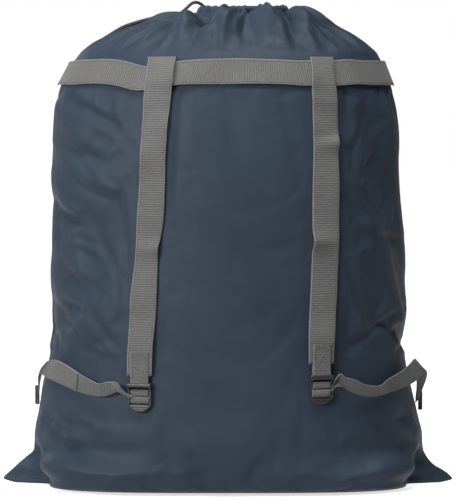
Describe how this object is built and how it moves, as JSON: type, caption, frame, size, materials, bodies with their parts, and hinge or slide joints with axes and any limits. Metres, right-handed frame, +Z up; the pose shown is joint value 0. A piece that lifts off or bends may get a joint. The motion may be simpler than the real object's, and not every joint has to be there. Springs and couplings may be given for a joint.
{
  "type": "drawstring laundry bag",
  "caption": "Large drawstring laundry bag with backpack straps, ladder-lock buckles and a cord lock, shown full.",
  "frame": {"origin": "middle of the bag's footprint, on the surface it stands on", "axes": "+Z up, strap side faces -Y, +X to the right as seen from the strap side"},
  "size_m": [0.634, 0.3164, 0.6776],
  "materials": {
    "fabric_navy": "satin taffeta, fine plain weave",
    "webbing_grey": "ribbed webbing, matt",
    "tab_dark": "dark webbing, matt",
    "cord_black": "braided cord",
    "plastic_black": "moulded plastic, soft gloss",
    "eyelet_black": "black coated brass",
    "spring_steel": "spring wire"
  },
  "bodies": {
    "bag": {"strap_side_panel": "fabric_navy", "far_side_panel": "fabric_navy", "mouth_hem": "fabric_navy", "drawstring_in_hem": "cord_black", "hem_eyelet": "eyelet_black", "drawstring_tail_left": "cord_black", "drawstring_tail_right": "cord_black", "tail_knot_left": "cord_black", "tail_knot_right": "cord_black", "upper_band": "webbing_grey", "left_strap_head": "webbing_grey", "right_strap_head": "webbing_grey", "left_side_tab": "tab_dark", "right_side_tab": "tab_dark"},
    "left_strap": {"left_shoulder_strap": "webbing_grey", "left_strap_loop": "webbing_grey", "left_lower_strap": "webbing_grey"},
    "right_strap": {"right_shoulder_strap": "webbing_grey", "right_strap_loop": "webbing_grey", "right_lower_strap": "webbing_grey"},
    "left_ladder_lock": {"left_buckle": "plastic_black", "left_webbing_wrap": "webbing_grey"},
    "right_ladder_lock": {"right_buckle": "plastic_black", "right_webbing_wrap": "webbing_grey"},
    "cord_lock": {"cord_lock_barrel": "plastic_black", "cord_lock_spring": "spring_steel"},
    "lock_plunger": {"cord_lock_plunger": "plastic_black"}
  },
  "joints": [
    {"name": "left_strap_swing", "type": "hinge", "parent": "bag", "child": "left_strap", "pos_m": [-0.115, -0.1238, 0.5543], "axis": [-0.3209, 0.2546, -0.9123], "range_deg": [0, 60]},
    {"name": "right_strap_swing", "type": "hinge", "parent": "bag", "child": "right_strap", "pos_m": [0.1472, -0.118, 0.5543], "axis": [-0.2582, -0.2437, 0.9348], "range_deg": [0, 60]},
    {"name": "left_buckle_tilt", "type": "hinge", "parent": "left_strap", "child": "left_ladder_lock", "pos_m": [-0.11922, -0.14927, 0.1515], "axis": [-0.9671, 0.2545, 0], "range_deg": [0, 35]},
    {"name": "right_buckle_tilt", "type": "hinge", "parent": "right_strap", "child": "right_ladder_lock", "pos_m": [0.12635, -0.14682, 0.162], "axis": [-0.9595, -0.2815, 0], "range_deg": [0, 35]},
    {"name": "cord_lock_slide", "type": "slide", "parent": "bag", "child": "cord_lock", "axis": [0.0973, -0.0817, 0.9919], "range_m": [-0.03, 0.03]},
    {"name": "lock_plunger_press", "type": "slide", "parent": "cord_lock", "child": "lock_plunger", "axis": [0.6428, 0.766, 0], "range_m": [0, 0.005], "stiffness_N_per_m": 300, "springref_m": -0.004, "deforming": ["cord_lock_spring"]}
  ]
}
